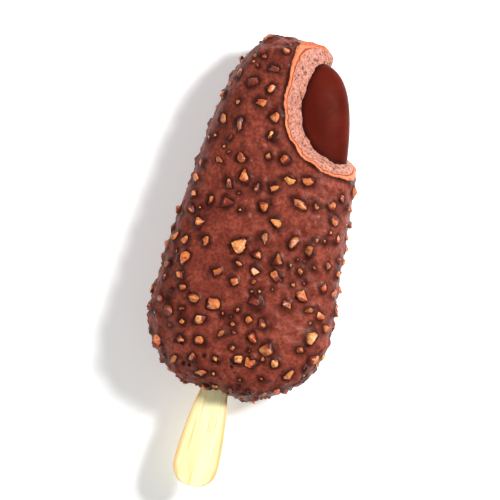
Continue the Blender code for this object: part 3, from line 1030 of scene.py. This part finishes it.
def rim_material(colours):
    """The coating's cut edge: pale orange with a thin darker line."""
    material, nodes, shader = new_material("cut coating", 0.5, gloss=0.25)
    place = nodes.place()
    shift = nodes.math("MULTIPLY", nodes.math("SUBTRACT", nodes.grain(place, 0.0016), 0.5), 0.6)
    depth = nodes.math("ADD", nodes.attribute("depth"), shift)
    line = nodes.math("SUBTRACT", nodes.spread(depth, 0.46, 0.58), nodes.spread(depth, 0.76, 0.86))
    uneven = nodes.mottle(place, colours.rim, colours.rim_outside, size=0.0011, amount=0.45)
    pale = nodes.blend(nodes.spread(depth, 0.04, 0.22), colours.rim_outside, uneven)
    nodes.feed(shader, "Base Color", nodes.blend(line, pale, colours.rim_line))
    set_bump(nodes, shader, ((nodes.grain(place, 0.0005), 0.00012, 0.8),))
    return material


def nut_material(colours):
    """Roasted nuts of several tones, with chocolate left on their lower sides, which painted shade darkens
    towards the foot.
    """
    material, nodes, shader = new_material("chopped nuts", 0.40)
    place = nodes.place()
    tone = nodes.attribute("tone")
    roasted = nodes.blend(nodes.spread(tone, 0.0, 0.55), colours.nut_brown, colours.nut_golden)
    fresh = nodes.blend(nodes.spread(tone, 0.65, 1.1), roasted, colours.nut_pale)
    stained = nodes.mottle(place, fresh, colours.nut_brown, size=0.0009, amount=0.85)
    flecked = nodes.mottle(place, stained, colours.nut_pale, size=0.0021, amount=0.34)
    smear = nodes.grain(place, 0.0013)
    ragged = nodes.math("MULTIPLY", nodes.math("SUBTRACT", smear, 0.5), 2.2)
    bare = nodes.spread(nodes.math("ADD", nodes.attribute("bare"), ragged), 0.34, 0.66)
    # painted shade: the chocolate on a nut turns darker towards its foot
    under = nodes.spread(nodes.attribute("top"), -0.10, 0.12)
    chocolate = nodes.blend(under, colours.chocolate_dark, chocolate_colour(nodes, place, colours))
    nodes.feed(shader, "Base Color", nodes.blend(bare, chocolate, flecked))
    nodes.feed(shader, "Specular IOR Level", nodes.spread(bare, 0.0, 1.0, 0.18, 0.50))
    nodes.feed(shader, "Roughness", nodes.spread(smear, 0.3, 0.7, 0.28, 0.52))
    set_bump(nodes, shader, ((smear, 0.00020, 0.8), (nodes.grain(place, 0.0004), 0.00006, 0.8)))
    return material


def ice_cream_material(colours):
    """Pink ice cream, grainy, with dark specks and pale flecks, partly frozen grains and partly painted
    glints.
    """
    material, nodes, shader = new_material("pink ice cream", 0.55, gloss=0.30)
    place = nodes.place()
    body = nodes.mottle(place, colours.ice_cream, colours.ice_cream_deep, size=0.0013, amount=0.8)
    # pale flecks: partly frozen grains, partly painted glints
    frost_and_glint_share = nodes.math("MULTIPLY", nodes.grain(place, 0.00055, "Mask"), 0.45)
    grainy = nodes.blend(frost_and_glint_share, body, colours.ice_cream_pale)
    cells = nodes.add("TexVoronoi", Vector=place, Scale=880.0, Randomness=1.0)
    dots = nodes.spread(cells.outputs["Distance"], 0.20, 0.52, 1.0, 0.0)
    patches = nodes.grain(place, 0.0011)
    specks = nodes.math("MULTIPLY", dots, nodes.spread(patches, 0.40, 0.56))
    speckled = nodes.blend(nodes.math("MULTIPLY", specks, 0.90), grainy, colours.speck)
    nodes.feed(shader, "Base Color", speckled)
    fine = nodes.grain(place, 0.00045)
    nodes.feed(shader, "Roughness", nodes.spread(fine, 0.35, 0.65, 0.32, 0.68))
    set_bump(nodes, shader, ((patches, 0.00030, 0.9), (fine, 0.00012, 0.9)))
    return material


def core_material(colours):
    """Smooth dark chocolate with a soft gloss."""
    material, nodes, shader = new_material("dark chocolate core", 0.40, gloss=0.045)
    shader.inputs["Specular Tint"].default_value = (1.0, 0.45, 0.36, 1.0)
    shader.inputs["Sheen Weight"].default_value = 0.90
    shader.inputs["Sheen Roughness"].default_value = 0.25
    shader.inputs["Sheen Tint"].default_value = (0.95, 0.36, 0.28, 1.0)
    place = nodes.place()
    body = nodes.mottle(place, colours.core, colours.core_dark, size=0.0085, amount=0.55)
    # painted shade round the core where it leaves the ice cream
    painted_shade_share = nodes.math("MULTIPLY", nodes.attribute("contact"), CORE_SHADE_DARKNESS)
    nodes.feed(shader, "Base Color", nodes.blend(painted_shade_share, body, colours.crevice))
    soft = nodes.grain(place, 0.0030)
    nodes.feed(shader, "Roughness", nodes.spread(soft, 0.3, 0.7, 0.36, 0.48))
    set_bump(nodes, shader, ((soft, 0.00010, 0.5), (nodes.grain(place, 0.0005), 0.00002, 0.5)))
    return material


def wood_material(colours):
    """Pale wood with grain along the stick and darker edges."""
    material, nodes, shader = new_material("pale wood", 0.55)
    stretched = nodes.add("Mapping", Vector=nodes.place(), Scale=(1.0, 0.035, 1.0)).outputs["Vector"]
    broad = nodes.mottle(stretched, colours.wood, colours.wood_grain, size=0.0016, amount=0.8)
    lines = nodes.grain(stretched, 0.00055)
    strokes = nodes.math("MULTIPLY", nodes.spread(lines, 0.55, 0.68), 0.60)
    stroked = nodes.blend(strokes, broad, colours.wood_edge)
    edge = nodes.math("MULTIPLY", nodes.spread(nodes.attribute("edge"), 0.80, 0.98), 0.85)
    nodes.feed(shader, "Base Color", nodes.blend(edge, stroked, colours.wood_edge))
    nodes.feed(shader, "Roughness", nodes.spread(lines, 0.3, 0.7, 0.48, 0.66))
    set_bump(nodes, shader, ((lines, 0.00007, 0.8),))
    return material


# Operators


class ICEBAR_OT_coating(bpy.types.Operator):
    """Makes the chocolate coating with its ripples, its lumps and the cut edge of the bite"""

    bl_idname = "ice_bar.coating"
    bl_label = "Chocolate coating"

    def execute(self, context):
        shape = context.scene.ice_bar_shape
        colours = context.scene.ice_bar_colours
        swellings = Swellings(shape)

        def lift(point):
            ripple = noise.noise(point / RIPPLE_SIZE) * shape.ripple
            grain = noise.noise(point / GRAIN_SIZE) * shape.grain
            return relief(point) + swellings.lift(point) + ripple + grain - PIT_DEPTH * pit(point)

        mesh = build_skin("coating_skin", OUTER, COATING_RINGS, COATING_AROUND, lift)
        piece = new_piece("chocolate_coating", mesh, chocolate_material(colours), rim_material(colours))
        hollow = build_skin("inside_cutter", COATING_INSIDE, INNER_RINGS, INNER_AROUND)
        inside = helper("inside_cutter", hollow)
        mesh = cut_away(piece, (inside, build_bite(shape, mesh.materials), build_slot()))
        if not any(face.material_index for face in mesh.polygons):
            raise RuntimeError("the bite left no cut edge on the coating")
        nuts = [nut_surface(name, context) for name in ("chopped_nuts", "nut_crumbs")]
        # painted shade: how dark each point of the coating is made beside the nuts, the bite and the pits
        spot_values(mesh, "crevice", lambda spot: crevice(spot, nuts))
        spot_values(mesh, "depth", coating_depth)
        shade(mesh, 42)
        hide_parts("coating")
        return {"FINISHED"}


def nut_surface(name, context):
    """The made nuts of one kind, ready to be measured from."""
    if name not in bpy.data.objects:
        raise RuntimeError(f"{name} is made before the coating, which is shaded where it meets it")
    return BVHTree.FromObject(bpy.data.objects[name], context.evaluated_depsgraph_get())


def crevice(spot, surfaces):
    """How much painted shade a point of the coating takes, from 0 to 1, in a pit or beside a nut or the
    bite.
    """
    beside_bite = 1.0 - smooth_step((bite_distance(spot) - RIM_SHADE_START) / RIM_SHADE)
    deepest = max(pit(spot), beside_bite)
    reach = CONTACT_SHADE * (1.0 + CONTACT_UNEVEN * noise.noise(spot / CONTACT_PATCH))
    for surface in surfaces:
        away = surface.find_nearest(placed(spot), 3.0 * reach)[3]
        if away is not None:
            deepest = max(deepest, math.exp(-((away / reach) ** 2)))
    return deepest


def coating_depth(spot):
    """0 on the coating's outside and 1 on its inside."""
    outside = max(0.0, 1.0 - OUTER.fullness(spot))
    inside = max(0.0, COATING_INSIDE.fullness(spot) - 1.0)
    return outside / max(outside + inside, 1e-6)


class ICEBAR_OT_nuts(bpy.types.Operator):
    """Makes the chopped nuts, golden where they are bare and brown where chocolate covers them"""

    bl_idname = "ice_bar.nuts"
    bl_label = "Chopped nuts"

    def execute(self, context):
        shape = context.scene.ice_bar_shape
        mesh = joined_chunks("chopped_nuts", nut_places(), NUT_SEED + 1, NUT_CUTS, shape)
        shade(mesh, 38)
        piece = new_piece("chopped_nuts", mesh, nut_material(context.scene.ice_bar_colours))
        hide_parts("coating")
        return {"FINISHED"}


class ICEBAR_OT_crumbs(bpy.types.Operator):
    """Makes the small nut crumbs between the larger nuts"""

    bl_idname = "ice_bar.crumbs"
    bl_label = "Nut crumbs"

    def execute(self, context):
        shape = context.scene.ice_bar_shape
        _, crumbs, _ = all_places(shape)
        mesh = joined_chunks("nut_crumbs", crumbs, CRUMB_SEED + 1, CRUMB_CUTS, shape)
        shade(mesh, 45)
        piece = new_piece("nut_crumbs", mesh, bpy.data.materials["chopped nuts"])
        return {"FINISHED"}


class ICEBAR_OT_ice_cream(bpy.types.Operator):
    """Makes the ice cream with the rough face that the bite leaves"""

    bl_idname = "ice_bar.ice_cream"
    bl_label = "Ice cream"

    def execute(self, context):
        shape = context.scene.ice_bar_shape
        mesh = build_skin("ice_cream_skin", ICE_CREAM, INNER_RINGS, INNER_AROUND)
        piece = new_piece("pink_ice_cream", mesh, ice_cream_material(context.scene.ice_bar_colours))
        hole = helper("core_cutter", build_skin("core_cutter", CORE_HOLE, CORE_RINGS, CORE_AROUND))
        mesh = cut_away(piece, (hole, build_bite(shape, mesh.materials), build_slot()))
        shade(mesh, 50)
        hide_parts("ice_cream")
        return {"FINISHED"}


class ICEBAR_OT_core(bpy.types.Operator):
    """Makes the smooth chocolate core that the bite leaves whole"""

    bl_idname = "ice_bar.core"
    bl_label = "Chocolate core"

    def execute(self, context):
        mesh = build_skin("core_skin", CORE, CORE_RINGS, CORE_AROUND)
        piece = new_piece("chocolate_core", mesh, core_material(context.scene.ice_bar_colours))
        mesh = cut_away(piece, (build_slot(),))
        # painted shade where the core leaves the ice cream
        spot_values(mesh, "contact", core_crease)
        shade(mesh, 50)
        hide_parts("core")
        return {"FINISHED"}


def core_crease(spot):
    """Painted shade: 1 where the core leaves the ice cream, less on both sides of that line."""
    return math.exp(-((bite_distance(spot) / CORE_SHADE) ** 2))


class ICEBAR_OT_stick(bpy.types.Operator):
    """Makes the wooden stick with rounded edges"""

    bl_idname = "ice_bar.stick"
    bl_label = "Wooden stick"

    def execute(self, context):
        inner_end = STICK_LENGTH - STICK_OUT
        alongs = even_steps(lambda a: (a, stick_half_width(a)), STICK_POINTS, -STICK_OUT, inner_end)
        bm = bmesh.new()
        right = [(STICK_X + stick_half_width(a), a) for a in alongs]
        left = [(STICK_X - stick_half_width(a), a) for a in alongs[-2:0:-1]]
        low = -STICK_THICKNESS / 2.0
        outline = [bm.verts.new(placed(Vector((x, a, low)))) for x, a in right + left]
        made = bmesh.ops.extrude_face_region(bm, geom=[bm.faces.new(outline)])["geom"]
        for vertex in (g for g in made if isinstance(g, bmesh.types.BMVert)):
            vertex.co.z += STICK_THICKNESS
        mesh = finished_mesh("wooden_stick", bm)
        piece = new_piece("wooden_stick", mesh, wood_material(context.scene.ice_bar_colours))
        bevel = piece.modifiers.new("rounded edges", "BEVEL")
        bevel.width = STICK_EDGE
        bevel.segments = 3
        bevel.limit_method = "ANGLE"
        bevel.angle_limit = math.radians(STICK_SHARP)
        mesh = apply_modifiers(piece)
        spot_values(mesh, "edge", stick_edge)
        shade(mesh, 40)
        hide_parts("stick")
        return {"FINISHED"}


def stick_edge(spot):
    """0 along the stick's middle and 1 at its edges."""
    return min(1.0, abs(spot.x - STICK_X) / max(stick_half_width(spot.y), GAP))


class ICEBAR_OT_stage(bpy.types.Operator):
    """Makes the pale floor, the soft studio light and the camera above the bar"""

    bl_idname = "ice_bar.stage"
    bl_label = "Stage"

    def execute(self, context):
        stage = context.scene.ice_bar_stage
        build_floor(stage)
        context.scene.camera = build_camera(stage)
        area_light("key", stage.key, **KEY_LIGHT)
        area_light("fill", stage.fill, **FILL_LIGHT)
        world = bpy.data.worlds.new("surroundings")
        world.use_nodes = True
        sky = world.node_tree.nodes["Background"]
        sky.inputs["Color"].default_value = (1.0, 1.0, 1.0, 1.0)
        sky.inputs["Strength"].default_value = stage.sky
        context.scene.world = world
        context.scene.view_settings.view_transform = "Standard"
        return {"FINISHED"}


def build_floor(stage):
    """The pale floor that the bar lies on, with a little light of its own."""
    mesh = bpy.data.meshes.new("floor")
    corners = [(x * FLOOR_HALF, y * FLOOR_HALF, 0.0) for x, y in ((-1, -1), (1, -1), (1, 1), (-1, 1))]
    mesh.from_pydata(corners, [], [(0, 1, 2, 3)])
    floor = new_object("floor", mesh)
    material, _, shader = new_material("pale floor", 0.7)
    shader.inputs["Base Color"].default_value = (*stage.floor, 1.0)
    shader.inputs["Emission Color"].default_value = (*stage.floor, 1.0)
    shader.inputs["Emission Strength"].default_value = stage.glow
    mesh.materials.append(material)
    floor.location.z = -FLOOR_DROP


def build_camera(stage):
    """The camera straight above the bar, turned as the photo's is."""
    data = bpy.data.cameras.new("camera")
    data.lens = stage.lens
    camera = new_object("camera", data)
    distance = VIEW_WIDTH * stage.lens / data.sensor_width
    camera.location = Vector(CAMERA_AIM) + Vector((0.0, 0.0, distance))
    camera.rotation_euler = (0.0, 0.0, math.radians(CAMERA_LEAN))
    return camera


def area_light(name, power, size, turn, height, away):
    """A square light that faces the bar from a direction given by its turn and its height."""
    data = bpy.data.lights.new(name, "AREA")
    data.energy = power
    data.size = size
    light = new_object(name, data)
    turn = math.radians(turn) + math.radians(CAMERA_LEAN)
    height = math.radians(height)
    level = math.cos(height)
    direction = Vector((math.cos(turn) * level, math.sin(turn) * level, math.sin(height)))
    light.location = Vector(CAMERA_AIM) + direction * away
    light.rotation_euler = direction.to_track_quat("Z", "Y").to_euler()


class ICEBAR_PT_panel(bpy.types.Panel):
    """Sizes, colours and operators of the ice cream bar"""

    bl_label = "Ice cream bar"
    bl_idname = "ICEBAR_PT_panel"
    bl_space_type = "VIEW_3D"
    bl_region_type = "UI"
    bl_category = "Ice cream bar"

    def draw(self, context):
        for name in GROUPS:
            group = getattr(context.scene, name)
            box = self.layout.box()
            for value in group.__annotations__:
                box.prop(group, value)
        for operator in OPERATORS:
            self.layout.operator(operator.bl_idname)


GROUPS = {"ice_bar_shape": IceBarShape, "ice_bar_colours": IceBarColours, "ice_bar_stage": IceBarStage}
OPERATORS = (
    ICEBAR_OT_nuts, ICEBAR_OT_crumbs, ICEBAR_OT_coating, ICEBAR_OT_ice_cream,
    ICEBAR_OT_core, ICEBAR_OT_stick, ICEBAR_OT_stage,
)
CLASSES = (*GROUPS.values(), *OPERATORS, ICEBAR_PT_panel)


def register():
    for each in CLASSES:
        bpy.utils.register_class(each)
    for name, group in GROUPS.items():
        setattr(bpy.types.Scene, name, PointerProperty(type=group))


def unregister():
    for name in GROUPS:
        delattr(bpy.types.Scene, name)
    for each in reversed(CLASSES):
        bpy.utils.unregister_class(each)


def main():
    """Registers the add-on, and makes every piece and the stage."""
    register()
    bpy.ops.ice_bar.nuts()
    bpy.ops.ice_bar.crumbs()
    bpy.ops.ice_bar.coating()
    bpy.ops.ice_bar.ice_cream()
    bpy.ops.ice_bar.core()
    bpy.ops.ice_bar.stick()
    bpy.ops.ice_bar.stage()
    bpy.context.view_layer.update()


if __name__ == "__main__":
    main()
